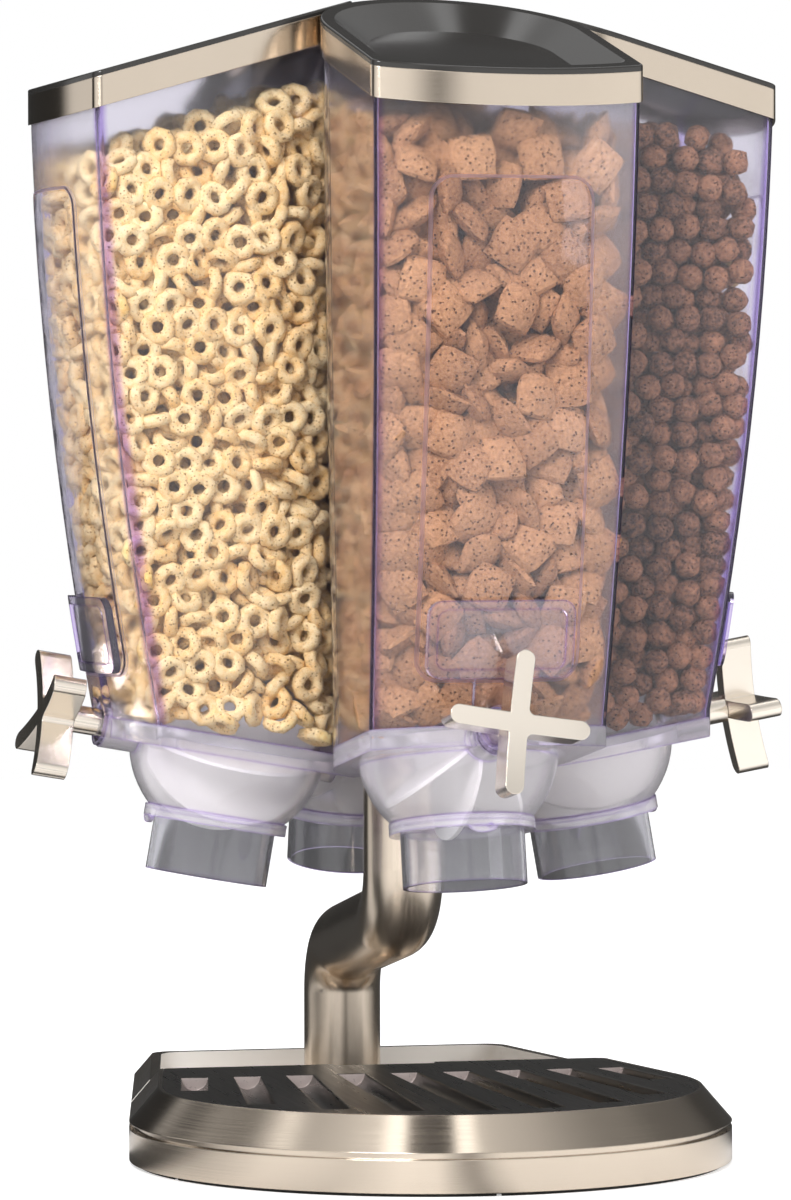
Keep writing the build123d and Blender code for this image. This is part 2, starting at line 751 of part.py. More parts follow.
station_pieces = {
    "hopper": hopper.part,
    "label_holder": label_holder.part,
    "funnel": funnel.part,
    "lid_band": lid_band.part,
    "lid_seal": lid_seal.part,
    "lid_top": lid_top.part,
}
shaft_pieces = {
    "spout": spout.part,
    "shaft_bush": shaft_bush.part,
    "shaft": shaft.part,
    "wheel": wheel.part,
    "knob": knob.part,
}
for side, facing in stations.items():
    station = carousel * Location((0, 0, 0), (0, 0, facing))
    for name, piece in station_pieces.items():
        write(station * piece, f"{name}_{side}")
    for name, piece in shaft_pieces.items():
        turned = Location((0, 0, 0), (knob_turns[side] if name in ("knob", "shaft", "wheel") else 0, 0, 0))
        write(station * wheel_seat.location * turned * piece, f"{name}_{side}")
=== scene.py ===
"""Looks of the rotating cereal dispenser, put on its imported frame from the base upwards.

Every length is in metres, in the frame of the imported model: +Z up, the front towards -Y.
"""

import json
import random
from math import atan2, cos, pi, radians, sin

import bmesh
import bpy
import numpy as np
from mathutils import Euler, Matrix, Vector, noise
from mathutils.bvhtree import BVHTree
from mathutils.kdtree import KDTree


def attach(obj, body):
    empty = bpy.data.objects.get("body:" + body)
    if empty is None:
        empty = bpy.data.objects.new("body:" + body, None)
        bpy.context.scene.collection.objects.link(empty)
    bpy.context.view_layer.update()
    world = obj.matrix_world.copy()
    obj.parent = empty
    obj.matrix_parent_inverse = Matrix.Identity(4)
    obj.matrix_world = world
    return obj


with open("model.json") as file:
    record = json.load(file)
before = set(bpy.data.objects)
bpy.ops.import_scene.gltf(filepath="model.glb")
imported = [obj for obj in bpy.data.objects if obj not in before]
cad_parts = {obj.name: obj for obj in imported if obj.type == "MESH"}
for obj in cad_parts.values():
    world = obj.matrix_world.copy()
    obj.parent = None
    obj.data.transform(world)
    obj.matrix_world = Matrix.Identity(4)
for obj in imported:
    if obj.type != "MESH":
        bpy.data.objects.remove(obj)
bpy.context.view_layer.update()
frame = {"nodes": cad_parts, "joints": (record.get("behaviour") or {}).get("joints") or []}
nodes = frame["nodes"]
scene = bpy.context.scene
scene.view_settings.view_transform = "Standard"

# Camera
# It stands far off in front, a little to the left, somewhat above half the dispenser's height,
# and looks almost level. The frame is cropped off centre, so a small shift sets the dispenser in it.
photo_size = (791, 1200)
photo_centre = (402.5, 550.4)
focal_length_px = 5728.4
sensor_width = 36.0
camera_distance = 3.2194
camera_height = 0.3763
camera_azimuth = radians(-12.5)
camera_pitch = radians(0.73)
camera_roll = radians(0.12)
camera_reach = 50
axis_y = 0.068

camera_data = bpy.data.cameras.new("camera")
camera_data.sensor_width = sensor_width
camera_data.lens = focal_length_px * sensor_width / photo_size[1]
camera_data.shift_x = (photo_size[0] / 2 - photo_centre[0]) / photo_size[1]
camera_data.shift_y = (photo_centre[1] - photo_size[1] / 2) / photo_size[1]
camera_data.clip_end = camera_reach
camera = bpy.data.objects.new("camera", camera_data)
camera.location = (
    camera_distance * sin(camera_azimuth),
    axis_y - camera_distance * cos(camera_azimuth),
    camera_height,
)
camera.rotation_euler = Euler((pi / 2 - camera_pitch, camera_roll, camera_azimuth))
scene.collection.objects.link(camera)
scene.camera = camera

# Studio
# Soft daylight from all round, a large lamp from the upper left and weaker ones from the right and above.
# Metal and plastic mirror a ring of pale and dark panels, and over it a ceiling with three bright strips.
# What the camera sees past the object, straight or through plastic, is white.
panel_ring = (
    (0.00, 0.05),
    (0.05, 0.03),
    (0.145, 0.03),
    (0.165, 0.80),
    (0.205, 0.85),
    (0.22, 0.04),
    (0.28, 0.03),
    (0.315, 0.80),
    (0.38, 1.10),
    (0.44, 0.70),
    (0.48, 1.05),
    (0.505, 1.05),
    (0.53, 0.25),
    (0.555, 1.00),
    (0.64, 1.05),
    (0.72, 1.10),
    (0.78, 0.90),
    (0.83, 0.06),
)
ceiling_strips = (
    (0.12, 0.05),
    (0.20, 0.30),
    (0.30, 0.62),
    (0.40, 0.80),
    (0.415, 2.00),
    (0.44, 1.90),
    (0.455, 0.08),
    (0.545, 0.12),
    (0.56, 2.00),
    (0.585, 1.80),
    (0.61, 0.85),
    (0.70, 0.70),
    (0.755, 0.50),
    (0.775, 1.80),
    (0.79, 1.60),
    (0.80, 0.08),
    (0.86, 0.06),
    (0.88, 0.50),
    (0.90, 0.05),
)
ceiling_low = 0.3
ceiling_high = 0.75
daylight = 0.55
floor_colour = (0.86, 0.86, 0.86)
floor_reach = 4.0
floor_roughness = 0.8
floor_glow = 0.55
lamp_aim_height = 0.35


def place_node(tree, kind, **settings):
    """Add a shader node with its settings."""
    node = tree.nodes.new(kind)
    for name, value in settings.items():
        setattr(node, name, value)
    return node


def new_effect(name, inputs, outputs):
    """Start a shader node group with named inputs and outputs."""
    effect = bpy.data.node_groups.new(name, "ShaderNodeTree")
    for socket, kind, value in inputs:
        made = effect.interface.new_socket(name=socket, in_out="INPUT", socket_type=kind)
        made.default_value = value
    for socket, kind in outputs:
        effect.interface.new_socket(name=socket, in_out="OUTPUT", socket_type=kind)
    return effect, effect.nodes.new("NodeGroupInput"), effect.nodes.new("NodeGroupOutput")


def use_effect(tree, effect, **values):
    """Place a shader node group in a material with its own values."""
    node = tree.nodes.new("ShaderNodeGroup")
    node.node_tree = effect
    for socket, value in values.items():
        node.inputs[socket].default_value = value
    return node


def grey_ramp(tree, stops):
    """Add a colour ramp of greys."""
    ramp = place_node(tree, "ShaderNodeValToRGB")
    while len(ramp.color_ramp.elements) < len(stops):
        ramp.color_ramp.elements.new(1.0)
    for element, (place, level) in zip(ramp.color_ramp.elements, stops):
        element.position = place
        element.color = (level, level, level, 1)
    return ramp


# Studio panels: what lies in one direction, counted from the camera's side
studio_panels, given, made = new_effect(
    "studio_panels", (("Direction", "NodeSocketVector", (0, 0, 1)),), (("Color", "NodeSocketColor"),)
)
turned = place_node(studio_panels, "ShaderNodeMapping")
turned.inputs["Rotation"].default_value = (0, 0, pi / 2 - camera_azimuth)
around = place_node(studio_panels, "ShaderNodeTexGradient", gradient_type="RADIAL")
panels = grey_ramp(studio_panels, panel_ring)
parts = place_node(studio_panels, "ShaderNodeSeparateXYZ")
rightwards = place_node(studio_panels, "ShaderNodeMapRange")
rightwards.inputs["From Min"].default_value = 1.0
rightwards.inputs["From Max"].default_value = -1.0
strips = grey_ramp(studio_panels, ceiling_strips)
overhead = place_node(studio_panels, "ShaderNodeMapRange")
overhead.inputs["From Min"].default_value = ceiling_low
overhead.inputs["From Max"].default_value = ceiling_high
both = place_node(studio_panels, "ShaderNodeMix", data_type="RGBA")
link = studio_panels.links.new
link(given.outputs["Direction"], turned.inputs["Vector"])
link(turned.outputs["Vector"], around.inputs["Vector"])
link(around.outputs["Fac"], panels.inputs["Fac"])
link(turned.outputs["Vector"], parts.inputs["Vector"])
link(parts.outputs["Y"], rightwards.inputs["Value"])
link(rightwards.outputs["Result"], strips.inputs["Fac"])
link(parts.outputs["Z"], overhead.inputs["Value"])
link(overhead.outputs["Result"], both.inputs["Factor"])
link(panels.outputs["Color"], both.inputs["A"])
link(strips.outputs["Color"], both.inputs["B"])
link(both.outputs["Result"], made.inputs["Color"])

world = bpy.data.worlds.new("studio")
scene.world = world
world.use_nodes = True
tree = world.node_tree
tree.nodes.clear()
direction = place_node(tree, "ShaderNodeTexCoord")
mirrored = use_effect(tree, studio_panels)
rays = place_node(tree, "ShaderNodeLightPath")
plain = place_node(tree, "ShaderNodeMix", data_type="RGBA")
plain.inputs["A"].default_value = (daylight, daylight, daylight, 1)
seen = place_node(tree, "ShaderNodeMix", data_type="RGBA")
seen.inputs["B"].default_value = (1, 1, 1, 1)
clear_view = place_node(tree, "ShaderNodeMath", operation="MAXIMUM")
light = place_node(tree, "ShaderNodeBackground")
output = place_node(tree, "ShaderNodeOutputWorld")
tree.links.new(direction.outputs["Generated"], mirrored.inputs["Direction"])
tree.links.new(rays.outputs["Is Glossy Ray"], plain.inputs["Factor"])
tree.links.new(mirrored.outputs["Color"], plain.inputs["B"])
tree.links.new(rays.outputs["Is Camera Ray"], clear_view.inputs[0])
tree.links.new(rays.outputs["Is Transmission Ray"], clear_view.inputs[1])
tree.links.new(clear_view.outputs["Value"], seen.inputs["Factor"])
tree.links.new(plain.outputs["Result"], seen.inputs["A"])
tree.links.new(seen.outputs["Result"], light.inputs["Color"])
tree.links.new(light.outputs["Background"], output.inputs["Surface"])


def hang_lamp(name, place, size, power, mirrored=True):
    """Hang a square soft lamp that faces the middle of the dispenser, mirrored by gloss or not."""
    lamp = bpy.data.objects.new(name, bpy.data.lights.new(name, "AREA"))
    lamp.data.size = size
    lamp.data.energy = power
    lamp.location = place
    aim = Vector((0, axis_y, lamp_aim_height)) - Vector(place)
    lamp.rotation_euler = aim.to_track_quat("-Z", "Y").to_euler()
    lamp.visible_glossy = mirrored
    scene.collection.objects.link(lamp)


hang_lamp("key_lamp", (-1.3, -2.0, 1.7), 1.1, 52)
hang_lamp("fill_lamp", (1.9, -1.5, 0.9), 1.3, 19, mirrored=False)
hang_lamp("top_lamp", (0.3, 0.5, 2.4), 1.4, 16, mirrored=False)

mesh = bpy.data.meshes.new("floor")
shape = bmesh.new()
bmesh.ops.create_grid(shape, x_segments=1, y_segments=1, size=floor_reach)
shape.to_mesh(mesh)
shape.free()
floor = bpy.data.objects.new("floor", mesh)
scene.collection.objects.link(floor)
floor_paint = bpy.data.materials.new("floor_paint")
floor_paint.use_nodes = True
tree = floor_paint.node_tree
matt = tree.nodes["Principled BSDF"]
matt.inputs["Roughness"].default_value = floor_roughness
matt.inputs["Emission Color"].default_value = (1, 1, 1, 1)
rays = place_node(tree, "ShaderNodeLightPath")
glow = place_node(tree, "ShaderNodeMath", operation="MULTIPLY")
glow.inputs[1].default_value = floor_glow
tree.links.new(rays.outputs["Is Camera Ray"], glow.inputs[0])
tree.links.new(glow.outputs["Value"], matt.inputs["Emission Strength"])
place = place_node(tree, "ShaderNodeTexCoord")
mirrored = use_effect(tree, studio_panels)
toned = place_node(tree, "ShaderNodeMix", data_type="RGBA")
toned.inputs["A"].default_value = (*floor_colour, 1)
tree.links.new(place.outputs["Object"], mirrored.inputs["Direction"])
tree.links.new(rays.outputs["Is Glossy Ray"], toned.inputs["Factor"])
tree.links.new(mirrored.outputs["Color"], toned.inputs["B"])
tree.links.new(toned.outputs["Result"], matt.inputs["Base Color"])
mesh.materials.append(floor_paint)

# Base casting and its foot
# A light alloy casting with a warm nickel finish, brushed round its band and dull inside, where painted light
# makes its shaded inner walls pale, over a black rubber mat.
# Four bolts hold the column's foot to its floor, and five screws the mat.
nickel_colour = (0.72, 0.62, 0.51)
steel_colour = (0.48, 0.47, 0.45)
round_grain = (9, 9, 2600)
fine_grain = (900, 900, 900)
edge_round = 0.0008
grain_strength = 0.6
grain_detail = 3.0
mark_colour = (0.25, 0.22, 0.2)
mark_detail = 4.0
# The pan's inner walls: where they sit and which way they face, their painted light colour, and their dull
# finish.
pan_middle = (0, 0.1, 0)
pan_facing = -0.01
pan_painted_light_colour = (1.0, 0.97, 0.92)
pan_roughness = 0.5
pan_metallic = 0.05

# Brushed grain: fine lines left by a belt, which ripple the surface and break up its gloss
brushed_grain, given, made = new_effect(
    "brushed_grain",
    (
        ("Grain", "NodeSocketVector", fine_grain),
        ("Roughness", "NodeSocketFloat", 0.3),
        ("Spread", "NodeSocketFloat", 0.15),
        ("Depth", "NodeSocketFloat", 0.00002),
    ),
    (("Roughness", "NodeSocketFloat"), ("Normal", "NodeSocketVector")),
)
where = place_node(brushed_grain, "ShaderNodeTexCoord")
stretch = place_node(brushed_grain, "ShaderNodeVectorMath", operation="MULTIPLY")
lines = place_node(brushed_grain, "ShaderNodeTexNoise")
lines.inputs["Scale"].default_value = 1.0
lines.inputs["Detail"].default_value = grain_detail
centred = place_node(brushed_grain, "ShaderNodeMath", operation="SUBTRACT")
centred.inputs[1].default_value = 0.5
spread = place_node(brushed_grain, "ShaderNodeMath", operation="MULTIPLY_ADD")
soft_edge = place_node(brushed_grain, "ShaderNodeBevel", samples=4)
soft_edge.inputs["Radius"].default_value = edge_round
ripple = place_node(brushed_grain, "ShaderNodeBump")
ripple.inputs["Strength"].default_value = grain_strength
link = brushed_grain.links.new
link(where.outputs["Object"], stretch.inputs[0])
link(given.outputs["Grain"], stretch.inputs[1])
link(stretch.outputs["Vector"], lines.inputs["Vector"])
link(lines.outputs["Fac"], centred.inputs[0])
link(centred.outputs["Value"], spread.inputs[0])
link(given.outputs["Spread"], spread.inputs[1])
link(given.outputs["Roughness"], spread.inputs[2])
link(lines.outputs["Fac"], ripple.inputs["Height"])
link(given.outputs["Depth"], ripple.inputs["Distance"])
link(spread.outputs["Value"], made.inputs["Roughness"])
link(ripple.outputs["Normal"], made.inputs["Normal"])
link(soft_edge.outputs["Normal"], ripple.inputs["Normal"])

# Handling marks: soft cloudy patches where hands and cloths have dulled or darkened a surface
handling_marks, given, made = new_effect(
    "handling_marks",
    (
        ("Color", "NodeSocketColor", (1, 1, 1, 1)),
        ("Amount", "NodeSocketFloat", 0.12),
        ("Size", "NodeSocketFloat", 14.0),
    ),
    (("Color", "NodeSocketColor"),),
)
where = place_node(handling_marks, "ShaderNodeTexCoord")
cloud = place_node(handling_marks, "ShaderNodeTexNoise")
cloud.inputs["Detail"].default_value = mark_detail
amount = place_node(handling_marks, "ShaderNodeMath", operation="MULTIPLY")
darker = place_node(handling_marks, "ShaderNodeMix", data_type="RGBA", blend_type="MULTIPLY")
darker.inputs["B"].default_value = (*mark_colour, 1)
link = handling_marks.links.new
link(where.outputs["Object"], cloud.inputs["Vector"])
link(given.outputs["Size"], cloud.inputs["Scale"])
link(cloud.outputs["Fac"], amount.inputs[0])
link(given.outputs["Amount"], amount.inputs[1])
link(amount.outputs["Value"], darker.inputs["Factor"])
link(given.outputs["Color"], darker.inputs["A"])
link(darker.outputs["Result"], made.inputs["Color"])


def new_finish(name, colour, marks=0.12, **sockets):
    """Start a material whose colour has handling marks."""
    material = bpy.data.materials.new(name)
    material.use_nodes = True
    tree = material.node_tree
    shader = tree.nodes["Principled BSDF"]
    for socket, value in sockets.items():
        shader.inputs[socket.replace("_", " ").title().replace("Ior", "IOR")].default_value = value
    clouds = use_effect(tree, handling_marks, Color=(*colour, 1), Amount=marks)
    tree.links.new(clouds.outputs["Color"], shader.inputs["Base Color"])
    return material


def opened(material):
    """Give a material's node tree and its shader."""
    return material.node_tree, material.node_tree.nodes["Principled BSDF"]


def new_metal(name, colour, grain, roughness, spread=0.15, depth=0.00002, marks=0.12, **sockets):
    """Make a metal with brushed grain in one direction."""
    material = new_finish(name, colour, marks, **{"metallic": 1.0, **sockets})
    tree, shader = opened(material)
    brushed = use_effect(tree, brushed_grain, Grain=grain, Roughness=roughness, Spread=spread, Depth=depth)
    tree.links.new(brushed.outputs["Roughness"], shader.inputs["Roughness"])
    tree.links.new(brushed.outputs["Normal"], shader.inputs["Normal"])
    return material


def paint_over(tree, shader, socket, value, mask):
    """Give one input of a shader a second value where a mask is white."""
    target = shader.inputs[socket]
    second = place_node(tree, "ShaderNodeMix", data_type="RGBA" if socket == "Base Color" else "FLOAT")
    second.inputs["B"].default_value = value
    if target.is_linked:
        tree.links.new(target.links[0].from_socket, second.inputs["A"])
    else:
        second.inputs["A"].default_value = target.default_value
    tree.links.new(mask, second.inputs["Factor"])
    tree.links.new(second.outputs["Result"], target)


def dress(node, material):
    """Give a node of the frame its material."""
    for slot in nodes[node].material_slots:
        slot.material = material


nickel_round = new_metal(
    "nickel_brushed_round", nickel_colour, round_grain, 0.17, anisotropic=0.8, anisotropic_rotation=0.25
)
nickel_cast = new_metal(
    "nickel_cast", nickel_colour, round_grain, 0.17, anisotropic=0.8, anisotropic_rotation=0.25
)
# Painted light: the pan's inner walls, which face its middle, are painted near white as if lit, and made dull
# and barely metallic.
tree, shader = opened(nickel_cast)
where = place_node(tree, "ShaderNodeTexCoord")
outwards = place_node(tree, "ShaderNodeVectorMath", operation="SUBTRACT")
outwards.inputs[1].default_value = pan_middle
level = place_node(tree, "ShaderNodeVectorMath", operation="MULTIPLY")
level.inputs[1].default_value = (1, 1, 0)
facing = place_node(tree, "ShaderNodeVectorMath", operation="DOT_PRODUCT")
inside = place_node(tree, "ShaderNodeMath", operation="LESS_THAN")
inside.inputs[1].default_value = pan_facing
tree.links.new(where.outputs["Object"], outwards.inputs[0])
tree.links.new(outwards.outputs["Vector"], level.inputs[0])
tree.links.new(level.outputs["Vector"], facing.inputs[0])
tree.links.new(where.outputs["Normal"], facing.inputs[1])
tree.links.new(facing.outputs["Value"], inside.inputs[0])
paint_over(tree, shader, "Base Color", (*pan_painted_light_colour, 1), inside.outputs["Value"])
paint_over(tree, shader, "Roughness", pan_roughness, inside.outputs["Value"])
paint_over(tree, shader, "Metallic", pan_metallic, inside.outputs["Value"])
plain_steel = new_metal("plain_steel", steel_colour, fine_grain, 0.35)
mat_rubber = new_finish("mat_rubber", (0.02, 0.02, 0.02), roughness=0.75)
dress("base_casting", nickel_cast)
dress("base_mat", mat_rubber)
dress("base_screws", plain_steel)
dress("column_bolts", plain_steel)

# Drip tray
# A brushed nickel skirt carries a dark plate with nine half-round flutes, which spread a little to the front.
# The plate is a satin dark metal; at the flutes' rear ends a painted highlight makes a thin band pale and
# less metallic.
plate_colour = (0.16, 0.15, 0.14)
plate_top = 0.0415
flute_rear = 0.068
# The flutes' rear ends: how far the painted highlight band reaches and how far below the top it starts, and
# its colour and metalness.
end_highlight_reach = 0.0016
end_highlight_drop = 0.0003
end_highlight_colour = (0.46, 0.39, 0.37)
end_highlight_metallic = 0.2
dark_plate = new_metal("dark_plate", plate_colour, (400, 14, 400), 0.3, spread=0.2, marks=0.3)
tree, shader = opened(dark_plate)
# Painted highlight: a thin band where the flutes end at the rear, below the plate's top, is painted pale and
# less metallic.
where = place_node(tree, "ShaderNodeTexCoord")
place = place_node(tree, "ShaderNodeSeparateXYZ")
at_end = place_node(tree, "ShaderNodeMath", operation="COMPARE")
at_end.inputs[1].default_value = flute_rear
at_end.inputs[2].default_value = end_highlight_reach
sunk = place_node(tree, "ShaderNodeMath", operation="LESS_THAN")
sunk.inputs[1].default_value = plate_top - end_highlight_drop
end_highlight_band = place_node(tree, "ShaderNodeMath", operation="MULTIPLY")
tree.links.new(where.outputs["Object"], place.inputs["Vector"])
tree.links.new(place.outputs["Y"], at_end.inputs[0])
tree.links.new(place.outputs["Z"], sunk.inputs[0])
tree.links.new(at_end.outputs["Value"], end_highlight_band.inputs[0])
tree.links.new(sunk.outputs["Value"], end_highlight_band.inputs[1])
paint_over(tree, shader, "Base Color", (*end_highlight_colour, 1), end_highlight_band.outputs["Value"])
paint_over(tree, shader, "Metallic", end_highlight_metallic, end_highlight_band.outputs["Value"])
dress("tray_trim", nickel_round)
dress("tray_plate", dark_plate)

# Column and its foot
# A bent tube with the same nickel finish, brushed along its length, welded into a round foot.
along_grain = (1400, 1400, 12)
nickel_along = new_metal(
    "nickel_brushed_along", nickel_colour, along_grain, 0.25, spread=0.08, marks=0.16,
    anisotropic=0.8, anisotropic_rotation=0.25,
)
dress("column", nickel_along)
dress("column_flange", nickel_round)
dress("spindle", plain_steel)
dress("spindle_nut", plain_steel)

# Hub
# A black moulded post with white bearing bushes, hidden between the hoppers, and its cap.
black_plastic = new_finish("black_plastic", (0.03, 0.03, 0.03), roughness=0.45)
white_bearing = new_finish("white_bearing", (0.75, 0.74, 0.7), roughness=0.4)
dress("hub", black_plastic)
dress("hub_cap", black_plastic)
dress("hub_bushes", white_bearing)
dress("thrust_washer", white_bearing)

# Hoppers and label holders
# Clear moulded plastic, finely frosted all over but for the polished window, which shows as a clear panel.
# Along a wall or at an edge the plastic is deep enough to look violet.
sides = ("front", "right", "rear", "left")
hopper_colour = (0.91, 0.90, 0.935)
label_colour = (0.965, 0.955, 0.975)
edge_violet = (0.50, 0.36, 0.80)
edge_reach = 0.0022
edge_start = 0.995
edge_full = 0.85
plastic_ior = 1.46
carousel_turn = radians(4.5)
corner_levels = (0.246, 0.4295, 0.570)
corner_reach = (0.159, 0.1848, 0.194)
corner_side = (0.0667, 0.0715, 0.074)
corner_core = 0.0025
corner_fade = 0.0060
corner_violet = (0.48, 0.36, 0.78)
polish = 0.04
side_frost = 0.11
frost = 0.17
face_depth = 0.003
window_side = 0.045
window_middle = 0.4015
window_half_height = 0.1335
window_corner = 0.012
window_outline = 0.0008
outline_colour = (0.74, 0.68, 0.92)
outline_frost = 0.5

# Deep edges: at an edge one looks along the plastic, so a narrow strip there has the deeper colour
deep_edges, given, made = new_effect(
    "deep_edges",
    (("Color", "NodeSocketColor", (1, 1, 1, 1)), ("Edge", "NodeSocketColor", (*edge_violet, 1))),
    (("Color", "NodeSocketColor"),),
)
surface = place_node(deep_edges, "ShaderNodeNewGeometry")
rounded = place_node(deep_edges, "ShaderNodeBevel", samples=4)
rounded.inputs["Radius"].default_value = edge_reach
agree = place_node(deep_edges, "ShaderNodeVectorMath", operation="DOT_PRODUCT")
near_edge = place_node(deep_edges, "ShaderNodeMapRange")
near_edge.inputs["From Min"].default_value = edge_start
near_edge.inputs["From Max"].default_value = edge_full
deeper = place_node(deep_edges, "ShaderNodeMix", data_type="RGBA")
link = deep_edges.links.new
link(surface.outputs["Normal"], agree.inputs[0])
link(rounded.outputs["Normal"], agree.inputs[1])
link(agree.outputs["Value"], near_edge.inputs["Value"])
link(near_edge.outputs["Result"], deeper.inputs["Factor"])
link(given.outputs["Color"], deeper.inputs["A"])
link(given.outputs["Edge"], deeper.inputs["B"])
link(deeper.outputs["Result"], made.inputs["Color"])


def new_clear_plastic(name, colour, roughness, clearness, tint, tint_density, shadow, mirroring=0.5):
    """Make a see-through plastic that a long way through it tints, and that throws only a light shadow."""
    material = new_finish(
        name, colour, marks=0.05, roughness=roughness, transmission_weight=clearness, ior=plastic_ior
    )
    tree, shader = opened(material)
    shader.inputs["Specular IOR Level"].default_value = mirroring
    edges = use_effect(tree, deep_edges)
    tree.links.new(shader.inputs["Base Color"].links[0].from_socket, edges.inputs["Color"])
    tree.links.new(edges.outputs["Color"], shader.inputs["Base Color"])
    rays = place_node(tree, "ShaderNodeLightPath")
    solid = place_node(tree, "ShaderNodeMapRange")
    solid.inputs["To Min"].default_value = 1.0
    solid.inputs["To Max"].default_value = shadow
    tree.links.new(rays.outputs["Is Shadow Ray"], solid.inputs["Value"])
    tree.links.new(solid.outputs["Result"], shader.inputs["Alpha"])
    depth = place_node(tree, "ShaderNodeVolumeAbsorption")
    depth.inputs["Color"].default_value = (*tint, 1)
    depth.inputs["Density"].default_value = tint_density
    tree.links.new(depth.outputs["Volume"], tree.nodes["Material Output"].inputs["Volume"])
    return material


# Hopper surface: violet corners, where the outer face meets the sides and the plastic is deepest,
# a frost on the sides and a heavier one on the outer face, and the polished window in that face
hopper_surface, given, made = new_effect(
    "hopper_surface",
    (
        ("Color", "NodeSocketColor", (1, 1, 1, 1)),
        ("Edge", "NodeSocketColor", (*corner_violet, 1)),
        ("Polish", "NodeSocketFloat", polish),
        ("Frost", "NodeSocketFloat", frost),
        ("Side Frost", "NodeSocketFloat", side_frost),
    ),
    (("Color", "NodeSocketColor"), ("Roughness", "NodeSocketFloat")),
)
where = place_node(hopper_surface, "ShaderNodeTexCoord")
turned = place_node(hopper_surface, "ShaderNodeMapping", vector_type="TEXTURE")
turned.inputs["Location"].default_value = (0, axis_y, 0)
turned.inputs["Rotation"].default_value = (0, 0, carousel_turn)
across = place_node(hopper_surface, "ShaderNodeVectorMath", operation="ABSOLUTE")
parts = place_node(hopper_surface, "ShaderNodeSeparateXYZ")
link = hopper_surface.links.new
link(where.outputs["Object"], turned.inputs["Vector"])
link(turned.outputs["Vector"], across.inputs[0])
link(across.outputs["Vector"], parts.inputs["Vector"])
squares = []
side_ways = []
gaps = []
for operation, levels in (("MAXIMUM", corner_reach), ("MINIMUM", corner_side)):
    side_way = place_node(hopper_surface, "ShaderNodeMath", operation=operation)
    link(parts.outputs["X"], side_way.inputs[0])
    link(parts.outputs["Y"], side_way.inputs[1])
    low = place_node(hopper_surface, "ShaderNodeMapRange")
    high = place_node(hopper_surface, "ShaderNodeMapRange")
    for rise, (start, end) in ((low, (0, 1)), (high, (1, 2))):
        rise.inputs["From Min"].default_value = corner_levels[start]
        rise.inputs["From Max"].default_value = corner_levels[end]
        rise.inputs["To Min"].default_value = levels[start] if rise is low else 0.0
        rise.inputs["To Max"].default_value = levels[end] if rise is low else levels[end] - levels[start]
        link(parts.outputs["Z"], rise.inputs["Value"])
    edge_place = place_node(hopper_surface, "ShaderNodeMath", operation="ADD")
    away = place_node(hopper_surface, "ShaderNodeMath", operation="SUBTRACT")
    square = place_node(hopper_surface, "ShaderNodeMath", operation="MULTIPLY")
    link(low.outputs["Result"], edge_place.inputs[0])
    link(high.outputs["Result"], edge_place.inputs[1])
    link(edge_place.outputs["Value"], away.inputs[0])
    link(side_way.outputs["Value"], away.inputs[1])
    link(away.outputs["Value"], square.inputs[0])
    link(away.outputs["Value"], square.inputs[1])
    squares.append(square)
    side_ways.append(side_way)
    gaps.append(away)
total = place_node(hopper_surface, "ShaderNodeMath", operation="ADD")
distance = place_node(hopper_surface, "ShaderNodeMath", operation="SQRT")
near_corner = place_node(hopper_surface, "ShaderNodeMapRange")
near_corner.inputs["From Min"].default_value = corner_fade
near_corner.inputs["From Max"].default_value = corner_core
deeper = place_node(hopper_surface, "ShaderNodeMix", data_type="RGBA")
link(squares[0].outputs["Value"], total.inputs[0])
link(squares[1].outputs["Value"], total.inputs[1])
link(total.outputs["Value"], distance.inputs[0])
link(distance.outputs["Value"], near_corner.inputs["Value"])
link(near_corner.outputs["Result"], deeper.inputs["Factor"])
link(given.outputs["Color"], deeper.inputs["A"])
link(given.outputs["Edge"], deeper.inputs["B"])

# Polished window: a rounded panel in the middle of each outer face, with a thin dulled outline
from_middle = place_node(hopper_surface, "ShaderNodeMath", operation="SUBTRACT")
from_middle.inputs[1].default_value = window_middle
height = place_node(hopper_surface, "ShaderNodeMath", operation="ABSOLUTE")
link(parts.outputs["Z"], from_middle.inputs[0])
link(from_middle.outputs["Value"], height.inputs[0])
overhangs = []
for place, half in ((side_ways[1], window_side), (height, window_half_height)):
    past = place_node(hopper_surface, "ShaderNodeMath", operation="SUBTRACT")
    past.inputs[1].default_value = half - window_corner
    overhang = place_node(hopper_surface, "ShaderNodeMath", operation="MAXIMUM")
    overhang.inputs[1].default_value = 0.0
    square = place_node(hopper_surface, "ShaderNodeMath", operation="POWER")
    square.inputs[1].default_value = 2.0
    link(place.outputs["Value"], past.inputs[0])
    link(past.outputs["Value"], overhang.inputs[0])
    link(overhang.outputs["Value"], square.inputs[0])
    overhangs.append(square)
both_ways = place_node(hopper_surface, "ShaderNodeMath", operation="ADD")
outside = place_node(hopper_surface, "ShaderNodeMath", operation="GREATER_THAN")
outside.inputs[1].default_value = window_corner**2
on_face = place_node(hopper_surface, "ShaderNodeMath", operation="LESS_THAN")
on_face.inputs[1].default_value = face_depth
face_gloss = place_node(hopper_surface, "ShaderNodeMix", data_type="FLOAT")
gloss = place_node(hopper_surface, "ShaderNodeMix", data_type="FLOAT")
link(overhangs[0].outputs["Value"], both_ways.inputs[0])
link(overhangs[1].outputs["Value"], both_ways.inputs[1])
link(both_ways.outputs["Value"], outside.inputs[0])
link(gaps[0].outputs["Value"], on_face.inputs[0])
link(outside.outputs["Value"], face_gloss.inputs["Factor"])
link(on_face.outputs["Value"], gloss.inputs["Factor"])
link(face_gloss.outputs["Result"], gloss.inputs["B"])
link(given.outputs["Polish"], face_gloss.inputs["A"])
link(given.outputs["Frost"], face_gloss.inputs["B"])
link(given.outputs["Side Frost"], gloss.inputs["A"])
from_corner = place_node(hopper_surface, "ShaderNodeMath", operation="SQRT")
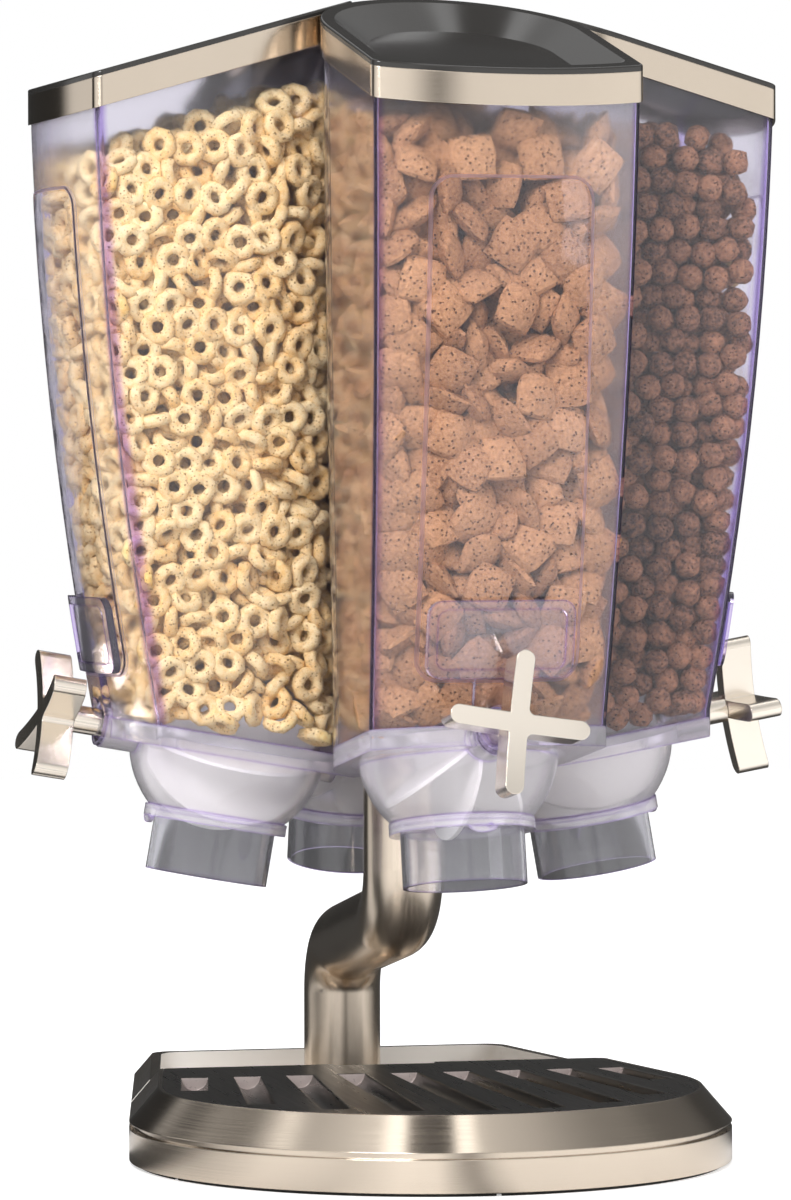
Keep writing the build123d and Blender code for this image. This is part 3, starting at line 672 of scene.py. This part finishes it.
outline = place_node(hopper_surface, "ShaderNodeMath", operation="COMPARE")
outline.inputs[1].default_value = window_corner
outline.inputs[2].default_value = window_outline
outlined = place_node(hopper_surface, "ShaderNodeMix", data_type="RGBA")
outlined.inputs["B"].default_value = (*outline_colour, 1)
dulled = place_node(hopper_surface, "ShaderNodeMix", data_type="FLOAT")
dulled.inputs["B"].default_value = outline_frost
link(both_ways.outputs["Value"], from_corner.inputs[0])
link(from_corner.outputs["Value"], outline.inputs[0])
link(outline.outputs["Value"], outlined.inputs["Factor"])
link(outline.outputs["Value"], dulled.inputs["Factor"])
link(deeper.outputs["Result"], outlined.inputs["A"])
link(gloss.outputs["Result"], dulled.inputs["A"])
link(outlined.outputs["Result"], made.inputs["Color"])
link(dulled.outputs["Result"], made.inputs["Roughness"])

hopper_plastic = new_clear_plastic(
    "hopper_plastic", hopper_colour, polish, 0.99, edge_violet, 25, 0.06, mirroring=0.25
)
tree, shader = opened(hopper_plastic)
corners = use_effect(tree, hopper_surface)
tree.links.new(shader.inputs["Base Color"].links[0].from_socket, corners.inputs["Color"])
tree.links.new(corners.outputs["Color"], shader.inputs["Base Color"])
tree.links.new(corners.outputs["Roughness"], shader.inputs["Roughness"])
label_plastic = new_clear_plastic("label_plastic", label_colour, 0.03, 0.97, edge_violet, 30, 0.1)
for side in sides:
    dress(f"hopper_{side}", hopper_plastic)
    dress(f"label_holder_{side}", label_plastic)

# Funnels, spouts and bushes
# The bowls are milky clear mouldings, the spouts smoky tubes pushed into their collars.
milky_plastic = new_clear_plastic(
    "milky_plastic", (0.97, 0.948, 0.972), 0.15, 0.80, edge_violet, 6, 0.06
)
smoky_plastic = new_clear_plastic(
    "smoky_plastic", (0.84, 0.84, 0.87), 0.05, 0.94, (0.42, 0.38, 0.5), 28, 0.25
)
for side in sides:
    dress(f"funnel_{side}", milky_plastic)
    dress(f"shaft_bush_{side}", label_plastic)
    dress(f"spout_{side}", smoky_plastic)

# Portion wheels, shafts and knobs
# Pale flexible vanes on a nickel shaft, turned by a satin nickel cross that is pinned to the shaft's end.
vane_rubber = new_finish("vane_rubber", (0.93, 0.92, 0.9), marks=0.03, roughness=0.5)
nickel_satin = new_metal(
    "nickel_satin", (0.90, 0.82, 0.72), fine_grain, 0.2, spread=0.08, depth=0.00001
)
for side in sides:
    dress(f"wheel_{side}", vane_rubber)
    dress(f"shaft_{side}", nickel_satin)
    dress(f"knob_{side}", nickel_satin)

# Lids
# A nickel band round the hopper's mouth under a dark glossy dished top, with a grey seal between.
dark_gloss = new_finish("dark_gloss", (0.035, 0.033, 0.031), roughness=0.14, marks=0.25)
seal_rubber = new_finish("seal_rubber", (0.2, 0.2, 0.2), roughness=0.6)
for side in sides:
    dress(f"lid_band_{side}", nickel_round)
    dress(f"lid_top_{side}", dark_gloss)
    dress(f"lid_seal_{side}", seal_rubber)

# Cereal
# Toasted rings, pillows, chocolate balls and corn puffs, as loose pieces that fill the hoppers.
# Only the pieces near a wall or the top are there, a few layers deep, and none reaches the portion wheels.
ring_radius = 0.0067
ring_tube = 0.0037
ring_rough = (0.0011, 0.005)
pillow_side = 0.0245
pillow_height = 0.0125
pillow_pinch = 0.80
pillow_blunt = 0.40
pillow_corner = 0.07
pillow_waist = 0.14
pillow_rough = (0.0008, 0.006)
pillow_crease = radians(48)
ball_radius = 0.0075
ball_rough = (0.0015, 0.0030)
ball_crease = radians(30)
shape_variants = 4
layer_depth = 0.034
hidden_inner_end = 0.056
wheel_clear = 0.0515
wall_clear = 0.0005
ease_rounds = 8
ease_push = 0.45
settle_rounds = 4
heap_foot = 0.225
heap_ceiling = 0.6
heap_width = 0.15
heap_side = 0.07
heap_reach = 0.2
heap_top = {"front": (0.556, 0.12), "right": (0.558, 0.1), "rear": (0.55, 0.12), "left": (0.546, 0.3)}
layer_rise = 0.816
row_step = 0.866
layer_slip = 0.29
shake_share = 0.3
wall_share = 0.36
wheel_share = 0.4
least_wheel_share = 0.3
flat_within = 0.8
flat_tilt = 0.35
knob_joints = {
    joint["child"].removeprefix("dial_"): joint
    for joint in frame["joints"]
    if joint["name"].startswith("knob_turn_")
}
chance = random.Random(5)


def station(side):
    """Give a side's own frame: its origin on the carousel's axis, X outwards through the hopper."""
    out = Vector(knob_joints[side]["axis"])
    return Matrix.Translation((0, axis_y, 0)) @ Matrix.Rotation(atan2(out.y, out.x), 4, "Z")


def roughen(shape, amount, size):
    """Push the vertices of a small shape about, so that no two shapes are alike."""
    shift = Vector(chance.uniform(-9, 9) for _ in range(3))
    for vertex in shape.verts:
        vertex.co += noise.noise_vector(vertex.co / size + shift) * amount


def ring_shape():
    """Model one toasted ring."""
    shape = bmesh.new()
    across = Matrix.Translation((ring_radius, 0, 0)) @ Matrix.Rotation(pi / 2, 4, "X")
    bmesh.ops.create_circle(shape, segments=6, radius=ring_tube, matrix=across)
    bmesh.ops.spin(
        shape, geom=shape.edges[:] + shape.verts[:], axis=(0, 0, 1), angle=2 * pi, steps=9, use_merge=True
    )
    roughen(shape, *ring_rough)
    bmesh.ops.recalc_face_normals(shape, faces=shape.faces[:])
    return shape


def pillow_shape():
    """Model one square pillow, pinched shut along two edges and blunt along the others."""
    shape = bmesh.new()
    bmesh.ops.create_cube(shape, size=2)
    bmesh.ops.subdivide_edges(shape, edges=shape.edges[:], cuts=3, use_grid_fill=True)
    for vertex in shape.verts:
        x, y, z = vertex.co
        swell = (1 - pillow_pinch * abs(x) ** 2.8) * (1 - pillow_blunt * abs(y) ** 4)
        corner = 1 - pillow_corner * (x * y) ** 2
        vertex.co = (
            x * corner * pillow_side / 2,
            y * corner * (1 - pillow_waist * z * z) * pillow_side / 2,
            z * swell * pillow_height / 2,
        )
    roughen(shape, *pillow_rough)
    for edge in shape.edges:
        edge.smooth = edge.calc_face_angle(0) < pillow_crease
    return shape


def ball_shape():
    """Model one round puff."""
    shape = bmesh.new()
    bmesh.ops.create_icosphere(shape, subdivisions=2, radius=ball_radius)
    roughen(shape, *ball_rough)
    for edge in shape.edges:
        edge.smooth = edge.calc_face_angle(0) < ball_crease
    return shape


def near_walls(side, gap):
    """Choose places for a hopper's pieces: a shaken lattice near its walls and its top, eased apart."""
    solid = bmesh.new()
    for piece in ("hopper", "funnel", "lid_top"):
        solid.from_mesh(nodes[f"{piece}_{side}"].data)
    walls = BVHTree.FromBMesh(solid)
    solid.free()
    frame_in = station(side)
    outward, across = frame_in.to_3x3().col[0].copy(), frame_in.to_3x3().col[1].copy()
    wheel_middle = Vector(knob_joints[side]["pos_m"])

    def inside(spot):
        for way in (outward, -outward, across, -across):
            place, normal, _, _ = walls.ray_cast(spot, way, heap_reach)
            if place is None or normal.dot(way) > 0:
                return False
        return (spot - wheel_middle).length > wheel_clear + gap * least_wheel_share

    def top(x):
        return heap_top[side][0] + (heap_reach - x) * heap_top[side][1]

    spots = []
    rise = gap * layer_rise
    for layer in range(int((heap_ceiling - heap_foot) / rise)):
        for row in range(int(heap_width / (gap * row_step))):
            for step in range(int(heap_reach / gap)):
                x = (step + 0.5 * ((row + layer) % 2)) * gap
                y = row * gap * row_step - heap_side + (layer % 2) * gap * layer_slip
                z = heap_foot + layer * rise
                shake = Vector(chance.uniform(-shake_share, shake_share) * gap for _ in range(3))
                near_top = top(x) - layer_depth < z + shake.z < top(x)
                if z + shake.z > top(x) or not (near_top or x > hidden_inner_end):
                    continue
                spot = frame_in @ (Vector((x, y, z)) + shake)
                if (near_top or walls.find_nearest(spot, layer_depth)[0]) and inside(spot):
                    spots.append(spot)

    places = np.array(spots)
    for _ in range(ease_rounds):
        tree = KDTree(len(places))
        for index, spot in enumerate(places):
            tree.insert(spot, index)
        tree.balance()
        pairs = [(a, b) for a, spot in enumerate(places) for _, b, _ in tree.find_range(spot, gap) if b > a]
        one, two = np.array(pairs).T
        apart = places[one] - places[two]
        length = np.linalg.norm(apart, axis=1, keepdims=True) + 1e-9
        push = apart / length * (gap - length) * ease_push
        np.add.at(places, one, push)
        np.add.at(places, two, -push)
        for index, spot in enumerate(places):
            spot = Vector(spot)
            place, normal, _, _ = walls.find_nearest(spot)
            depth = (spot - place).dot(normal)
            if depth < gap * wall_share:
                places[index] = spot + normal * (gap * wall_share - depth)
        from_wheel = places - np.array(wheel_middle)
        length = np.linalg.norm(from_wheel, axis=1, keepdims=True)
        nearest = wheel_clear + gap * wheel_share
        places = np.where(length < nearest, np.array(wheel_middle) + from_wheel / length * nearest, places)
    return [Vector(spot) for spot in places if inside(Vector(spot))], walls, wheel_middle


def fill(side, name, make_shape, gap, flat_share, material):
    """Fill a hopper with one kind of cereal, each piece turned at random but clear of walls and wheel."""
    shapes = []
    for _ in range(shape_variants):
        shape = make_shape()
        mesh = bpy.data.meshes.new(name)
        shape.to_mesh(mesh)
        shape.free()
        shapes.append((mesh, np.array([vertex.co for vertex in mesh.vertices])))
    spots, walls, wheel_middle = near_walls(side, gap)
    heap = bmesh.new()
    one_piece = bpy.data.meshes.new(name)
    for spot in spots:
        mesh, outline = chance.choice(shapes)
        _, normal, _, distance = walls.find_nearest(spot)
        facing = Vector(chance.gauss(0, 1) for _ in range(3)).normalized()
        if distance < gap * flat_within and chance.random() < flat_share:
            facing = (normal + facing * flat_tilt).normalized()
        spin = Matrix.Rotation(chance.uniform(0, 2 * pi), 4, "Z")
        turn = facing.to_track_quat("Z", "Y").to_matrix().to_4x4() @ spin
        points = outline @ np.array(turn.to_3x3()).T
        for _ in range(settle_rounds):
            place, normal, _, _ = walls.find_nearest(spot)
            reach = -(points @ np.array(normal)).min() + wall_clear
            depth = (spot - place).dot(normal)
            if depth < reach:
                spot = spot + normal * (reach - depth)
            from_wheel = spot - wheel_middle
            low = np.linalg.norm(points + np.array(from_wheel), axis=1).min()
            if low < wheel_clear:
                spot = spot + from_wheel.normalized() * (wheel_clear - low)
        piece = bmesh.new()
        piece.from_mesh(mesh)
        piece.verts.layers.float.new("toast")
        browned = chance.random()
        toast = piece.verts.layers.float["toast"]
        for vertex in piece.verts:
            vertex[toast] = browned
        piece.transform(Matrix.Translation(spot) @ turn)
        piece.to_mesh(one_piece)
        piece.free()
        heap.from_mesh(one_piece)
    for face in heap.faces:
        face.smooth = True
    mesh = bpy.data.meshes.new(name)
    heap.to_mesh(mesh)
    heap.free()
    mesh.materials.append(material)
    cereal = bpy.data.objects.new(name, mesh)
    scene.collection.objects.link(cereal)
    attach(cereal, "carousel")
    print(name, len(spots), "pieces", len(mesh.polygons), "faces")


# Baked crust: a pale to dark mottle with dark pores, browner on the pieces that were toasted longer
crust_detail = 5.0
crust_breakup = 0.65
crust_pits = (0.12, 0.28)
crust_shades = (0.40, 0.63)
toast_share = 0.45
mottle_share = 0.55
pore_shade = (0.52, 0.46, 0.41)
crust_roughness = 0.7
crumb_toast = 0.98
crumb_colour = (0.80, 0.54, 0.26)

baked_crust, given, made = new_effect(
    "baked_crust",
    (
        ("Pale", "NodeSocketColor", (1, 1, 1, 1)),
        ("Dark", "NodeSocketColor", (0, 0, 0, 1)),
        ("Mottle", "NodeSocketFloat", 300.0),
        ("Pores", "NodeSocketFloat", 800.0),
        ("Depth", "NodeSocketFloat", 0.0005),
    ),
    (("Color", "NodeSocketColor"), ("Normal", "NodeSocketVector")),
)
where = place_node(baked_crust, "ShaderNodeTexCoord")
mottle = place_node(baked_crust, "ShaderNodeTexNoise")
mottle.inputs["Detail"].default_value = crust_detail
mottle.inputs["Roughness"].default_value = crust_breakup
pores = place_node(baked_crust, "ShaderNodeTexVoronoi")
pit = place_node(baked_crust, "ShaderNodeMapRange")
pit.inputs["From Min"].default_value, pit.inputs["From Max"].default_value = crust_pits
browned = place_node(baked_crust, "ShaderNodeAttribute", attribute_name="toast")
shade = place_node(baked_crust, "ShaderNodeMapRange")
shade.inputs["From Min"].default_value, shade.inputs["From Max"].default_value = crust_shades
toasted = place_node(baked_crust, "ShaderNodeMath", operation="MULTIPLY_ADD")
toasted.inputs[1].default_value = toast_share
toasted.inputs[2].default_value = 0.0
both = place_node(baked_crust, "ShaderNodeMath", operation="MULTIPLY_ADD", use_clamp=True)
both.inputs[1].default_value = mottle_share
base = place_node(baked_crust, "ShaderNodeMix", data_type="RGBA")
darkest = place_node(baked_crust, "ShaderNodeMix", data_type="RGBA", blend_type="MULTIPLY")
darkest.inputs["Factor"].default_value = 1.0
darkest.inputs["B"].default_value = (*pore_shade, 1)
pitted = place_node(baked_crust, "ShaderNodeMix", data_type="RGBA")
relief = place_node(baked_crust, "ShaderNodeMath", operation="ADD")
bump = place_node(baked_crust, "ShaderNodeBump")
link = baked_crust.links.new
link(where.outputs["Object"], mottle.inputs["Vector"])
link(where.outputs["Object"], pores.inputs["Vector"])
link(given.outputs["Mottle"], mottle.inputs["Scale"])
link(given.outputs["Pores"], pores.inputs["Scale"])
link(pores.outputs["Distance"], pit.inputs["Value"])
link(mottle.outputs["Fac"], shade.inputs["Value"])
link(browned.outputs["Fac"], toasted.inputs[0])
link(shade.outputs["Result"], both.inputs[0])
link(toasted.outputs["Value"], both.inputs[2])
link(both.outputs["Value"], base.inputs["Factor"])
link(given.outputs["Pale"], base.inputs["A"])
link(given.outputs["Dark"], base.inputs["B"])
link(pit.outputs["Result"], pitted.inputs["Factor"])
link(given.outputs["Dark"], darkest.inputs["A"])
link(darkest.outputs["Result"], pitted.inputs["A"])
link(base.outputs["Result"], pitted.inputs["B"])
link(mottle.outputs["Fac"], relief.inputs[0])
link(pit.outputs["Result"], relief.inputs[1])
link(relief.outputs["Value"], bump.inputs["Height"])
link(given.outputs["Depth"], bump.inputs["Distance"])
link(pitted.outputs["Result"], made.inputs["Color"])
link(bump.outputs["Normal"], made.inputs["Normal"])


def new_crust(name, pale, dark, mottle_scale, pore_scale, depth):
    """Make the crust of one kind of cereal."""
    material = bpy.data.materials.new(name)
    material.use_nodes = True
    tree, shader = opened(material)
    shader.inputs["Roughness"].default_value = crust_roughness
    crust = use_effect(
        tree,
        baked_crust,
        Pale=(*pale, 1),
        Dark=(*dark, 1),
        Mottle=mottle_scale,
        Pores=pore_scale,
        Depth=depth,
    )
    tree.links.new(crust.outputs["Color"], shader.inputs["Base Color"])
    tree.links.new(crust.outputs["Normal"], shader.inputs["Normal"])
    return material


ring_crust = new_crust("ring_crust", (1.0, 0.83, 0.44), (0.86, 0.54, 0.17), 240, 500, 0.0006)
pillow_crust = new_crust("pillow_crust", (0.64, 0.34, 0.145), (0.28, 0.12, 0.042), 460, 360, 0.0018)
ball_crust = new_crust("ball_crust", (0.60, 0.28, 0.14), (0.05, 0.018, 0.010), 340, 420, 0.0034)
tree, shader = opened(ball_crust)
broken_open = place_node(tree, "ShaderNodeMath", operation="GREATER_THAN")
broken_open.inputs[1].default_value = crumb_toast
browned = place_node(tree, "ShaderNodeAttribute", attribute_name="toast")
tree.links.new(browned.outputs["Fac"], broken_open.inputs[0])
paint_over(tree, shader, "Base Color", (*crumb_colour, 1), broken_open.outputs["Value"])
puff_crust = new_crust("puff_crust", (0.85, 0.55, 0.18), (0.60, 0.28, 0.06), 300, 900, 0.0006)
fill("front", "pillow_cereal", pillow_shape, 0.0195, 0.5, pillow_crust)
fill("right", "chocolate_ball_cereal", ball_shape, 0.0154, 0.0, ball_crust)
fill("rear", "corn_puff_cereal", ball_shape, 0.0154, 0.0, puff_crust)
fill("left", "ring_cereal", ring_shape, 0.0150, 0.45, ring_crust)
